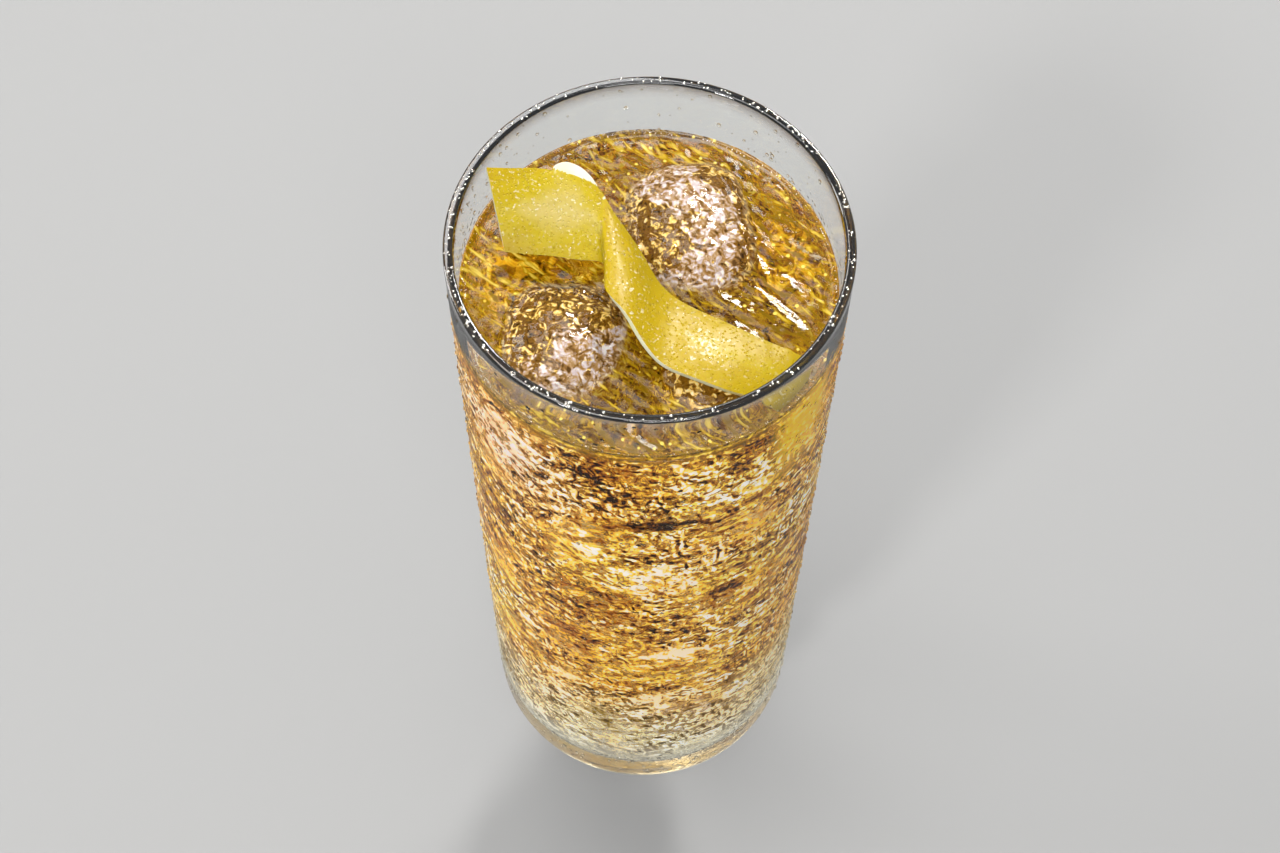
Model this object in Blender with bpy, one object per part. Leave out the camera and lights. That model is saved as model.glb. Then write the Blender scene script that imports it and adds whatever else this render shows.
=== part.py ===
# Whisky highball: a slim straight glass, the drink in it, three pieces of ice that break the
# surface and a curled strip of lemon peel. Metres, +Z up, origin at the centre of the glass's foot.
import math

import bmesh
import bpy
from mathutils import Matrix, Vector

MM = 0.001

# Glass
GLASS_HEIGHT = 160.0 * MM
RIM_RADIUS = 32.0 * MM
BASE_RADIUS = 30.0 * MM          # where the straight wall, drawn on, would meet the table
HEEL_RADIUS = 8.0 * MM
WALL_AT_RIM = 1.6 * MM
WALL_AT_FLOOR = 2.2 * MM
BASE_THICKNESS = 9.0 * MM
INNER_HEEL_RADIUS = 7.0 * MM
ROUND_SEGMENTS = 80
HEEL_STEPS = 7
INNER_HEEL_STEPS = 5
LIP_STEPS = 6                    # round the top of the rim

# Drink
DRINK_LEVEL = 147.0 * MM
CLEARANCE = 0.3 * MM             # kept between any two pieces
ROOM = 1.4 * CLEARANCE           # how far a hollow in the drink is wider than what it holds

# Ice: centre, full size and turn about Z of each piece in millimetres and degrees, how square
# it still is (2 would be an ellipsoid) and where its melted hollows lie
ICE_PIECES = {
    "ice_back": {
        "centre": (6.3, 11.5, 135.6), "size": (23.6, 29.4, 27.8), "turn": 9.0,
        "squareness": 3.3, "phase": 0.4,
    },
    "ice_front": {
        "centre": (-13.0, -10.0, 136.6), "size": (24.4, 26.4, 27.6), "turn": -7.0,
        "squareness": 2.45, "phase": 2.1,
    },
    "ice_side": {
        "centre": (9.8, -16.2, 136.6), "size": (18.0, 15.5, 23.4), "turn": 24.0,
        "squareness": 3.0, "phase": 4.4,
    },
}
ICE_CUTS = 7
ICE_WAVE = 0.03                  # depth of the melted hollows, as a share of the half size
ICE_WAVE_SHIFT = 0.9             # keeps the hollows inside the block
ICE_BROAD_WAVE = (3.1, 2.7)      # radians across and along the block
ICE_FINE_WAVE = (3.7, 2.0)       # radians up and across it
ICE_FINE_SHARE = 0.7
ICE_FINE_PHASE = 1.7

# Lemon peel: pairs of points on its back and front edge, in millimetres, from its left end,
# which leans on the wall near the rim, to its right end, which dips into the drink
PEEL_EDGES = [
    ((-26.0, 14.6, 158.4), (-22.9, 3.2, 151.6)),
    ((-21.5, 15.2, 157.5), (-18.8, 3.2, 151.0)),
    ((-17.0, 15.9, 156.4), (-14.8, 3.2, 150.5)),
    ((-12.0, 15.1, 155.4), (-10.5, 2.8, 150.2)),
    ((-8.5, 13.8, 154.6), (-7.5, 2.2, 150.5)),
    ((-6.6, 11.2, 153.9), (-7.0, -1.6, 152.7)),
    ((-4.4, 7.8, 153.0), (-6.6, -5.8, 154.7)),
    ((-2.0, 4.4, 152.1), (-3.6, -9.8, 155.0)),
    ((0.4, 0.4, 151.1), (-0.9, -13.9, 153.8)),
    ((3.4, -3.4, 150.3), (2.8, -17.6, 152.3)),
    ((8.0, -6.3, 150.2), (8.0, -19.8, 151.9)),
    ((13.6, -9.1, 150.1), (12.0, -21.1, 151.2)),
    ((19.6, -11.7, 149.4), (16.0, -21.6, 150.0)),
    ((24.2, -13.3, 148.3), (18.9, -21.8, 148.3)),
    ((26.2, -13.7, 145.6), (20.0, -21.8, 145.6)),
    ((26.1, -13.6, 141.6), (19.9, -21.7, 141.6)),
]
PEEL_THICKNESS = 1.5 * MM        # in the middle of the strip
PEEL_EDGE_THICKNESS = 0.8 * MM
PEEL_CROWN = 0.5 * MM            # how far the outer face bulges between its two edges
PEEL_STEPS = 4                   # steps along the strip between two pairs
PEEL_ROWS = 8                    # steps across the strip
PITH_LIP = 2.2 * MM              # pith left on past the back edge of the left half
PITH_LIP_START = 2.25            # where it starts, peaks and ends, counted in pairs
PITH_LIP_PEAK = 2.9
PITH_LIP_END = 4.1
PITH_LIP_BLUNTNESS = 0.7         # under 1 makes its start blunter
SLOPE_REACH = 0.05               # pairs to each side, when the direction of the strip is read

# Angles in degrees up to which neighbouring faces are shaded as one surface
GLASS_SMOOTHING = 40.0
ICE_SMOOTHING = 60.0
PEEL_SMOOTHING = 50.0


def remove_objects():
    for obj in list(bpy.data.objects):
        bpy.data.objects.remove(obj, do_unlink=True)


def make_material(name, colour, roughness, transmission=0.0, ior=1.45):
    material = bpy.data.materials.new(name)
    material.use_nodes = True
    shader = material.node_tree.nodes["Principled BSDF"]
    shader.inputs["Base Color"].default_value = (*colour, 1.0)
    shader.inputs["Roughness"].default_value = roughness
    shader.inputs["Metallic"].default_value = 0.0
    shader.inputs["Transmission Weight"].default_value = transmission
    shader.inputs["IOR"].default_value = ior
    material.diffuse_color = (*colour, 1.0)
    return material


def add_object(name, mesh_builder, material, smooth_angle):
    """Turn a bmesh into an object with its material, shaded smooth up to an angle."""
    mesh = bpy.data.meshes.new(name)
    bmesh.ops.recalc_face_normals(mesh_builder, faces=mesh_builder.faces)
    mesh_builder.to_mesh(mesh)
    mesh_builder.free()
    mesh.materials.append(material)
    mesh.shade_smooth()
    mesh.set_sharp_from_angle(angle=math.radians(smooth_angle))
    obj = bpy.data.objects.new(name, mesh)
    bpy.context.scene.collection.objects.link(obj)
    return obj


def arc(centre, radius, start, end, steps):
    """Points (radius, height) on an arc, angles in degrees from +radius towards +Z."""
    points = []
    for step in range(steps + 1):
        angle = math.radians(start + (end - start) * step / steps)
        points.append((centre[0] + radius * math.cos(angle), centre[1] + radius * math.sin(angle)))
    return points


def outer_radius(height):
    return BASE_RADIUS + (RIM_RADIUS - BASE_RADIUS) * height / GLASS_HEIGHT


def inner_radius(height):
    share = (height - BASE_THICKNESS) / (GLASS_HEIGHT - BASE_THICKNESS)
    wall = WALL_AT_FLOOR + (WALL_AT_RIM - WALL_AT_FLOOR) * share
    return outer_radius(height) - wall


def turned(profile):
    """Turn a profile that starts and ends on the axis into a closed body."""
    builder = bmesh.new()
    rings = []
    for radius, height in profile:
        if radius == 0.0:
            rings.append([builder.verts.new((0.0, 0.0, height))])
            continue
        ring = []
        for step in range(ROUND_SEGMENTS):
            angle = 2.0 * math.pi * step / ROUND_SEGMENTS
            ring.append(builder.verts.new((radius * math.cos(angle), radius * math.sin(angle), height)))
        rings.append(ring)
    for low, high in zip(rings, rings[1:]):
        for step in range(ROUND_SEGMENTS):
            after = (step + 1) % ROUND_SEGMENTS
            if len(low) == 1:
                builder.faces.new((low[0], high[after], high[step]))
            elif len(high) == 1:
                builder.faces.new((low[step], low[after], high[0]))
            else:
                builder.faces.new((low[step], low[after], high[after], high[step]))
    return builder


def inner_profile(inset, top):
    """Floor, inner heel and wall of the glass's hollow, set in by a gap, up to a height."""
    floor = BASE_THICKNESS + inset
    heel = INNER_HEEL_RADIUS
    heel_height = floor + heel
    heel_radius = inner_radius(heel_height) - inset - heel
    profile = [(0.0, floor)]
    profile += arc((heel_radius, heel_height), heel, -90.0, 0.0, INNER_HEEL_STEPS)
    profile.append((inner_radius(top) - inset, top))
    return profile


def build_glass(material):
    lip = WALL_AT_RIM / 2.0
    heel_centre = (outer_radius(HEEL_RADIUS) - HEEL_RADIUS, HEEL_RADIUS)
    lip_centre = (RIM_RADIUS - lip, GLASS_HEIGHT - lip)
    profile = [(0.0, 0.0)]
    profile += arc(heel_centre, HEEL_RADIUS, -90.0, 0.0, HEEL_STEPS)
    profile += arc(lip_centre, lip, 0.0, 180.0, LIP_STEPS)
    profile += list(reversed(inner_profile(0.0, GLASS_HEIGHT - lip)))[1:]
    return add_object("glass", turned(profile), material, GLASS_SMOOTHING)


def build_drink(material, cutters):
    profile = inner_profile(CLEARANCE, DRINK_LEVEL)
    profile.append((0.0, DRINK_LEVEL))
    drink = add_object("drink", turned(profile), material, GLASS_SMOOTHING)
    for cutter in cutters:
        cut = drink.modifiers.new("room for " + cutter.name, "BOOLEAN")
        cut.operation = "DIFFERENCE"
        cut.solver = "EXACT"
        cut.object = cutter
        cutter.hide_render = True
        cutter.display_type = "WIRE"
    return drink


def melted_block(size, turn, centre, squareness, phase, grow):
    """A block with rounded corners and shallow melted hollows, larger all round by grow."""
    builder = bmesh.new()
    bmesh.ops.create_cube(builder, size=2.0)
    bmesh.ops.subdivide_edges(builder, edges=builder.edges[:], cuts=ICE_CUTS, use_grid_fill=True)
    half = Vector(size) * MM / 2.0
    place = Matrix.Translation(Vector(centre) * MM) @ Matrix.Rotation(math.radians(turn), 4, "Z")
    for vert in builder.verts:
        # even spacing on the faces of the block first, then its rounded form
        even = Vector([math.tan(c * math.pi / 4.0) for c in vert.co])
        norm = sum(abs(c) ** squareness for c in even) ** (1.0 / squareness)
        point = even / norm
        across, along = ICE_BROAD_WAVE
        up, aside = ICE_FINE_WAVE
        wave = math.sin(across * point.x + phase) * math.cos(along * point.y - phase)
        fine = math.sin(up * point.z + aside * point.x + ICE_FINE_PHASE * phase)
        point *= 1.0 - ICE_WAVE * (ICE_WAVE_SHIFT + wave + ICE_FINE_SHARE * fine)
        vert.co = place @ Vector([a * b for a, b in zip(point, half)])
    bmesh.ops.recalc_face_normals(builder, faces=builder.faces)
    builder.normal_update()
    normals = [vert.normal.copy() for vert in builder.verts]
    for vert, normal in zip(builder.verts, normals):
        vert.co += normal * grow
    return builder


def natural_spline(values):
    """Cubic curve through evenly spaced values, as a function of the position counted in steps."""
    count = len(values)
    second = [Vector((0.0, 0.0, 0.0)) for _ in values]
    upper = [0.0] * count
    for i in range(1, count - 1):
        pivot = 4.0 - upper[i - 1]
        upper[i] = 1.0 / pivot
        second[i] = (6.0 * (values[i + 1] - 2.0 * values[i] + values[i - 1]) - second[i - 1]) / pivot
    for i in range(count - 2, 0, -1):
        second[i] = second[i] - upper[i] * second[i + 1]

    def at(position):
        i = min(int(position), count - 2)
        b = position - i
        a = 1.0 - b
        bend = ((a ** 3 - a) * second[i] + (b ** 3 - b) * second[i + 1]) / 6.0
        return a * values[i] + b * values[i + 1] + bend

    return at


def pith_lip(position):
    """Width of the pith that stands past the back edge, at a position counted in pairs."""
    if position <= PITH_LIP_START or position >= PITH_LIP_END:
        return 0.0
    if position < PITH_LIP_PEAK:
        share = (position - PITH_LIP_START) / (PITH_LIP_PEAK - PITH_LIP_START)
        return PITH_LIP * math.sin(share * math.pi / 2.0) ** PITH_LIP_BLUNTNESS
    share = (position - PITH_LIP_PEAK) / (PITH_LIP_END - PITH_LIP_PEAK)
    return PITH_LIP * math.cos(share * math.pi / 2.0)


def peel_surface():
    """Rows of points on the outer, yellow face of the peel, one row for each place along it."""
    back_edge = natural_spline([Vector(back) * MM for back, _ in PEEL_EDGES])
    front_edge = natural_spline([Vector(front) * MM for _, front in PEEL_EDGES])
    steps = (len(PEEL_EDGES) - 1) * PEEL_STEPS
    rows = []
    for step in range(steps + 1):
        position = step / PEEL_STEPS
        back = back_edge(position)
        front = front_edge(position)
        across = front - back
        nearby = min(position + SLOPE_REACH, len(PEEL_EDGES) - 1.0)
        before = nearby - 2.0 * SLOPE_REACH
        along = back_edge(nearby) + front_edge(nearby) - back_edge(before) - front_edge(before)
        up = across.cross(along).normalized()
        back = back - across.normalized() * pith_lip(position)
        row = []
        for i in range(PEEL_ROWS + 1):
            share = i / PEEL_ROWS
            crown = PEEL_CROWN * 4.0 * share * (1.0 - share)
            row.append(back.lerp(front, share) + up * crown)
        rows.append(row)
    return rows


def surface_normals(rows):
    normals = []
    for i, row in enumerate(rows):
        after = rows[min(i + 1, len(rows) - 1)]
        before = rows[max(i - 1, 0)]
        line = []
        for j in range(len(row)):
            right = row[min(j + 1, len(row) - 1)]
            left = row[max(j - 1, 0)]
            line.append((right - left).cross(after[j] - before[j]).normalized())
        normals.append(line)
    return normals


def peel_solid(grow):
    """The strip between its outer face and its pith, larger all round by grow."""
    outer = peel_surface()
    normals = surface_normals(outer)
    inner = []
    for row, line in zip(outer, normals):
        below = []
        for j, (point, normal) in enumerate(zip(row, line)):
            share = j / PEEL_ROWS
            middle = 4.0 * share * (1.0 - share)
            depth = PEEL_EDGE_THICKNESS + (PEEL_THICKNESS - PEEL_EDGE_THICKNESS) * middle
            below.append(point - normal * (depth + grow))
        inner.append(below)
    if grow > 0.0:
        outer = [[p + n * grow for p, n in zip(row, line)] for row, line in zip(outer, normals)]
        for sheet in (outer, inner):
            for row in sheet:
                across = (row[-1] - row[0]).normalized() * grow
                row[0] = row[0] - across
                row[-1] = row[-1] + across
            start = [(a - b).normalized() * grow for a, b in zip(sheet[0], sheet[1])]
            end = [(a - b).normalized() * grow for a, b in zip(sheet[-1], sheet[-2])]
            sheet[0] = [p + move for p, move in zip(sheet[0], start)]
            sheet[-1] = [p + move for p, move in zip(sheet[-1], end)]
    builder = bmesh.new()
    top = [[builder.verts.new(p) for p in row] for row in outer]
    bottom = [[builder.verts.new(p) for p in row] for row in inner]
    last = len(top) - 1
    for i in range(last):
        for j in range(PEEL_ROWS):
            builder.faces.new((top[i][j], top[i][j + 1], top[i + 1][j + 1]))
            builder.faces.new((top[i][j], top[i + 1][j + 1], top[i + 1][j]))
            builder.faces.new((bottom[i][j], bottom[i + 1][j + 1], bottom[i][j + 1]))
            builder.faces.new((bottom[i][j], bottom[i + 1][j], bottom[i + 1][j + 1]))
        builder.faces.new((top[i][0], top[i + 1][0], bottom[i + 1][0], bottom[i][0]))
        builder.faces.new((top[i][-1], bottom[i][-1], bottom[i + 1][-1], top[i + 1][-1]))
    for j in range(PEEL_ROWS):
        builder.faces.new((top[0][j], bottom[0][j], bottom[0][j + 1], top[0][j + 1]))
        builder.faces.new((top[last][j], top[last][j + 1], bottom[last][j + 1], bottom[last][j]))
    return builder


def build_ice(name, piece, material, grow=0.0):
    builder = melted_block(
        piece["size"], piece["turn"], piece["centre"], piece["squareness"], piece["phase"], grow
    )
    return add_object(name, builder, material, ICE_SMOOTHING)


def main():
    remove_objects()
    clear_glass = make_material("clear_glass", (0.95, 0.97, 0.96), 0.03, 1.0, 1.52)
    golden_drink = make_material("golden_drink", (0.78, 0.55, 0.12), 0.02, 0.9, 1.34)
    clear_ice = make_material("clear_ice", (0.86, 0.88, 0.92), 0.12, 0.8, 1.31)
    lemon_zest = make_material("lemon_zest", (0.90, 0.74, 0.07), 0.38)

    build_glass(clear_glass)
    cutters = []
    for name, piece in ICE_PIECES.items():
        build_ice(name, piece, clear_ice)
        cutters.append(build_ice(name + "_room", piece, clear_ice, ROOM))
    add_object("lemon_peel", peel_solid(0.0), lemon_zest, PEEL_SMOOTHING)
    cutters.append(add_object("lemon_peel_room", peel_solid(ROOM), lemon_zest, PEEL_SMOOTHING))
    build_drink(golden_drink, cutters)


main()
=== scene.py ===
import math
import random

import bpy
import numpy as np
from mathutils import Matrix, Vector, noise
from mathutils.bvhtree import BVHTree


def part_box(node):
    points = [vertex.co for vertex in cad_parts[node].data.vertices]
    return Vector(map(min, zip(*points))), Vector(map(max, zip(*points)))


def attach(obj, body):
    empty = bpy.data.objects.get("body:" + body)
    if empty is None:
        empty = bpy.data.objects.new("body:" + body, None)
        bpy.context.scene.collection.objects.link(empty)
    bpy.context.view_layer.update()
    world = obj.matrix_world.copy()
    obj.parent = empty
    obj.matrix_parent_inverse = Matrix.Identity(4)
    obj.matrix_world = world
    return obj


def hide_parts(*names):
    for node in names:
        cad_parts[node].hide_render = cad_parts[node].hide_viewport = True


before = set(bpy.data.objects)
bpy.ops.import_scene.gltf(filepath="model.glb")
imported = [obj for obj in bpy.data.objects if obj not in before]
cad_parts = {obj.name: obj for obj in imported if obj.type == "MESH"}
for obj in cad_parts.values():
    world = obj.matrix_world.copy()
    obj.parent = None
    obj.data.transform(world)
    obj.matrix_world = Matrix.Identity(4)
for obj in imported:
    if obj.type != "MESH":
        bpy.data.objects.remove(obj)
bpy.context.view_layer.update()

mm = 0.001
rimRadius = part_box("glass")[1].x
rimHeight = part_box("glass")[1].z
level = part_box("drink")[1].z
rising = ((0, 0, 0, 1), (1, 1, 1, 1))      # a ramp from nothing to all
falling = ((1, 1, 1, 1), (0, 0, 0, 1))


# Shared helpers

def limitShare(value):
    return max(0.0, min(1.0, value))


def deselectAll():
    if bpy.context.object and bpy.context.object.mode != "OBJECT":
        bpy.ops.object.mode_set(mode="OBJECT")
    bpy.ops.object.select_all(action="DESELECT")


def makeActive(piece):
    deselectAll()
    piece.select_set(True)
    bpy.context.view_layer.objects.active = piece


def startPiece(name):  # names the primitive that was just added and puts its place into its mesh
    piece = bpy.context.object
    piece.name = name
    piece.data.name = name
    bpy.ops.object.transform_apply(location=True, rotation=True, scale=True)
    return piece


def applyModifier(piece, kind, **settings):
    makeActive(piece)
    modifier = piece.modifiers.new(kind.lower(), kind)
    for key, value in settings.items():
        setattr(modifier, key, value)
    bpy.ops.object.modifier_apply(modifier=modifier.name)


def subdivideSmooth(piece, levels):
    applyModifier(piece, "SUBSURF", levels=levels, render_levels=levels)


def displaceBy(piece, kind, size, strength, middle=0.5, **textureSettings):
    texture = bpy.data.textures.new(piece.name + kind, kind)
    texture.noise_scale = size
    for key, value in textureSettings.items():
        setattr(texture, key, value)
    applyModifier(piece, "DISPLACE", texture=texture, strength=strength, mid_level=middle,
                  texture_coords="LOCAL")


def shadeSmooth(piece, degrees=180):
    makeActive(piece)
    bpy.ops.object.shade_smooth_by_angle(angle=math.radians(degrees))


def outwardNormals(piece):
    makeActive(piece)
    bpy.ops.object.mode_set(mode="EDIT")
    bpy.ops.mesh.select_all(action="SELECT")
    bpy.ops.mesh.remove_doubles(threshold=0.00001)
    bpy.ops.mesh.normals_make_consistent(inside=False)
    bpy.ops.object.mode_set(mode="OBJECT")


def dress(piece, material, slotName, *replacedNodes, clear=False):
    piece.data.materials.clear()
    piece.data.materials.append(material)
    piece.visible_shadow = not clear   # light reaches what stands in or behind a clear piece
    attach(piece, "root")
    if replacedNodes:
        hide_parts(*replacedNodes)


def turnProfile(name, profile, sides):  # a closed body from a ring that is extruded and resized
    deselectAll()
    radius, height = profile[0]
    bpy.ops.mesh.primitive_circle_add(vertices=sides, radius=radius, location=(0, 0, height))
    piece = startPiece(name)
    bpy.ops.object.mode_set(mode="EDIT")
    bpy.ops.mesh.select_all(action="SELECT")
    for nextRadius, nextHeight in profile[1:]:
        bpy.ops.mesh.extrude_region_move(
            TRANSFORM_OT_translate={"value": (0, 0, nextHeight - height)})
        grow = nextRadius / radius
        bpy.ops.transform.resize(value=(grow, grow, 1), center_override=(0, 0, nextHeight))
        radius, height = nextRadius, nextHeight
    bpy.ops.mesh.select_all(action="SELECT")
    bpy.ops.mesh.fill_holes(sides=0)
    bpy.ops.object.mode_set(mode="OBJECT")
    outwardNormals(piece)
    return piece


def arcPoints(centre, radius, start, end, steps):
    points = []
    for step in range(steps + 1):
        angle = math.radians(start + (end - start) * step / steps)
        points.append((centre[0] + radius * math.cos(angle), centre[1] + radius * math.sin(angle)))
    return points


def newMaterial(name):
    material = bpy.data.materials.new(name)
    material.use_nodes = True
    return material, material.node_tree


def feed(tree, node, inputs):  # fixed values, and links from sockets
    for key, value in inputs.items():
        if isinstance(value, bpy.types.NodeSocket):
            tree.links.new(value, node.inputs[key])
        else:
            node.inputs[key].default_value = value


def addNode(tree, kind, inputs=None, **settings):
    node = tree.nodes.new("ShaderNode" + kind)
    for key, value in settings.items():
        setattr(node, key, value)
    feed(tree, node, inputs or {})
    return node


def setShader(tree, **values):
    shader = tree.nodes["Principled BSDF"]
    feed(tree, shader, {key.replace("_", " "): value for key, value in values.items()})
    return shader


def combine(tree, operation, *values):
    return addNode(tree, "Math", dict(enumerate(values)), operation=operation).outputs[0]


def times(tree, first, second):
    return combine(tree, "MULTIPLY", first, second)


def plus(tree, first, second):
    return combine(tree, "ADD", first, second)


def minus(tree, first, second):
    return combine(tree, "SUBTRACT", first, second)


def combineVectors(tree, operation, *values, **named):
    node = addNode(tree, "VectorMath", {**dict(enumerate(values)), **named}, operation=operation)
    return node.outputs["Value" if operation in ("LENGTH", "DISTANCE") else "Vector"]


def mixColours(tree, blend, factor, first, second):
    return addNode(tree, "Mix", {0: factor, 6: first, 7: second}, data_type="RGBA",
                   blend_type=blend).outputs[2]


def objectPlace(tree):
    return addNode(tree, "TexCoord").outputs["Object"]


def splitAxes(tree, source):
    return addNode(tree, "SeparateXYZ", {0: source}).outputs[:3]


def attributeShare(tree, name):
    return addNode(tree, "Attribute", attribute_name=name).outputs["Fac"]


def noiseAt(tree, place, scale, detail, distortion=0.0, output="Fac"):
    inputs = {"Vector": place, "Scale": scale, "Detail": detail, "Distortion": distortion}
    return addNode(tree, "TexNoise", inputs).outputs[output]


def objectNoise(tree, scale, detail=3.0, distortion=0.0, stretch=(1, 1, 1)):
    mapping = addNode(tree, "Mapping", {"Vector": objectPlace(tree), "Scale": stretch})
    return noiseAt(tree, mapping.outputs["Vector"], scale, detail, distortion)


def cellsAt(tree, place, scale):  # the distance to the nearest point, and each cell's own number
    cells = addNode(tree, "TexVoronoi", {"Vector": place, "Scale": scale}, feature="F1")
    return cells.outputs["Distance"], splitAxes(tree, cells.outputs["Color"])[0]


def paletteRamp(tree, source, stops):
    ramp = addNode(tree, "ValToRGB", {"Fac": source})
    elements = ramp.color_ramp.elements
    elements.remove(elements[1])
    elements[0].position, elements[0].color = stops[0]
    for position, colour in stops[1:]:
        elements.new(position).color = colour
    return ramp.outputs["Color"]


def rampBetween(tree, source, low, high, colours=rising):
    return paletteRamp(tree, source, ((low, colours[0]), (high, colours[1])))


def reliefAndPaintedShadeNoise(tree, scale, lengths, shift, gain, turn=0.0, distortion=2.0):
    # painted light and shade of a relief: the difference of two shifted noises, around 0.5, so
    # beside each painted bright line lies a painted dark one; the ice also takes it as the height
    # of its bumps
    heights = []
    for move in ((0, 0, 0), shift):
        mapping = addNode(tree, "Mapping", {"Vector": objectPlace(tree), "Location": move,
                                            "Scale": lengths, "Rotation": (0, 0, turn)},
                          vector_type="TEXTURE")
        heights.append(noiseAt(tree, mapping.outputs["Vector"], scale, 2.5, distortion))
    return combine(tree, "MULTIPLY_ADD", minus(tree, *heights), gain, 0.5)


def paintedFacetShade(tree, scale, amount):  # flakes of one painted shade each, around 0: painted shading of facets
    place = objectPlace(tree)
    stir = noiseAt(tree, place, scale / 2, 2.0, output="Color")
    stir = combineVectors(tree, "SCALE", stir, Scale=1.4 / scale)
    shade = cellsAt(tree, combineVectors(tree, "ADD", place, stir), scale)[1]
    return times(tree, minus(tree, shade, 0.5), amount)


def dotNoise(tree, scale, radius, share):  # 1 in round dots of some of the cells
    away, number = cellsAt(tree, objectPlace(tree), scale)
    inside = rampBetween(tree, away, radius * 0.6, radius, falling)
    return times(tree, inside, combine(tree, "GREATER_THAN", number, 1 - share))


def bandAt(tree, source, middle, reach, amount):  # a soft line across one value of the source
    away = combine(tree, "DIVIDE", minus(tree, source, middle), reach)
    near = combine(tree, "EXPONENT", times(tree, times(tree, away, away), -1.0))
    return times(tree, near, amount)


def coverRamp(tree, source, clearHalf, opaqueHalf):  # 0 round the middle of a painted shade and relief value, 1 at its ends
    away = combine(tree, "ABSOLUTE", minus(tree, source, 0.5))
    return rampBetween(tree, away, clearHalf, opaqueHalf)


def bumpFrom(tree, source, strength, distance):
    inputs = {"Height": source, "Strength": strength, "Distance": distance}
    return addNode(tree, "Bump", inputs).outputs["Normal"]


# Camera

view = {
    "focalLength": 64.46,      # millimetres on a 36 mm sensor
    "pitch": 61.09,            # degrees below the horizon
    "roll": 0.849,
    "distance": 0.40534,
    "target": (-0.0011, 0.0, 0.10092),
}


def addCamera():
    pitch = math.radians(view["pitch"])
    roll = math.radians(view["roll"])
    forward = Vector((0, math.cos(pitch), -math.sin(pitch)))
    up = Vector((0, math.sin(pitch), math.cos(pitch)))
    right = Vector((1, 0, 0))
    turnedRight = right * math.cos(roll) + up * math.sin(roll)
    turnedUp = up * math.cos(roll) - right * math.sin(roll)
    place = Vector(view["target"]) - forward * view["distance"]
    deselectAll()
    bpy.ops.object.camera_add()
    camera = bpy.context.object
    matrix = Matrix((turnedRight, turnedUp, -forward)).transposed().to_4x4()
    matrix.translation = place
    camera.matrix_world = matrix
    camera.data.lens = view["focalLength"]
    camera.data.sensor_width = 36
    camera.data.clip_start = 0.01
    bpy.context.scene.camera = camera
    print("camera placed")


# Studio: a pale floor and soft boxes

studio = {
    "floorSize": 6.0,
    "floorDrop": 0.0001,       # keeps the floor just under the foot
    "floorColour": (0.37, 0.366, 0.357, 1),
    "worldColour": (0.80, 0.82, 0.86, 1),
    "worldStrength": 0.42,
    "softBoxes": [             # name, width, depth, watts, place, aim
        ("keyBox", 0.24, 0.30, 11.0, (0.34, 0.95, 1.05), (0.0, 0.0, 0.12)),
        ("skyBox", 0.8, 0.6, 5.0, (-0.20, 0.15, 1.45), (0.0, 0.0, 0.05)),
        ("backBox", 0.7, 0.5, 5.0, (-0.35, 0.95, 1.25), (0.0, 0.0, 0.05)),
        ("fillBox", 0.7, 0.5, 7.0, (0.15, -1.05, 1.35), (0.0, 0.0, 0.10)),
        ("frontBox", 0.18, 0.18, 6.0, (-0.60, -0.80, 0.95), (0.0, 0.0, 0.12)),
        ("sideBox", 0.22, 0.8, 3.5, (-0.95, 0.30, 0.40), (0.0, 0.0, 0.10)),
    ],
    "render": {                # what the clear pieces need of the renderer
        "use_denoising": True,
        "use_adaptive_sampling": True,
        "adaptive_threshold": 0.04,
        "max_bounces": 12,
        "transmission_bounces": 12,
        "glossy_bounces": 4,
        "diffuse_bounces": 2,
        "transparent_max_bounces": 16,
        "caustics_refractive": False,
        "caustics_reflective": False,
        "blur_glossy": 0.3,
        "sample_clamp_indirect": 6.0,
    },
}


def addStudio():
    deselectAll()
    bpy.ops.mesh.primitive_plane_add(size=studio["floorSize"],
                                     location=(0, 0, -studio["floorDrop"]))
    floor = startPiece("paleFloor")
    material, tree = newMaterial("palePaper")
    setShader(tree, Base_Color=studio["floorColour"], Roughness=0.7)
    floor.data.materials.append(material)
    world = bpy.data.worlds.new("softRoom")
    world.use_nodes = True
    background = world.node_tree.nodes["Background"]
    background.inputs["Color"].default_value = studio["worldColour"]
    background.inputs["Strength"].default_value = studio["worldStrength"]
    bpy.context.scene.world = world
    for name, width, depth, watts, place, aim in studio["softBoxes"]:
        bpy.ops.object.light_add(type="AREA", location=place)
        box = bpy.context.object
        box.name = name
        box.data.shape = "RECTANGLE"
        box.data.size = width
        box.data.size_y = depth
        box.data.energy = watts
        box.rotation_euler = (Vector(aim) - Vector(place)).to_track_quat("-Z", "Y").to_euler()
    scene = bpy.context.scene
    scene.view_settings.view_transform = "Standard"
    for key, value in studio["render"].items():
        setattr(scene.cycles, key, value)
    print("studio lit")


# Glass

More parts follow.
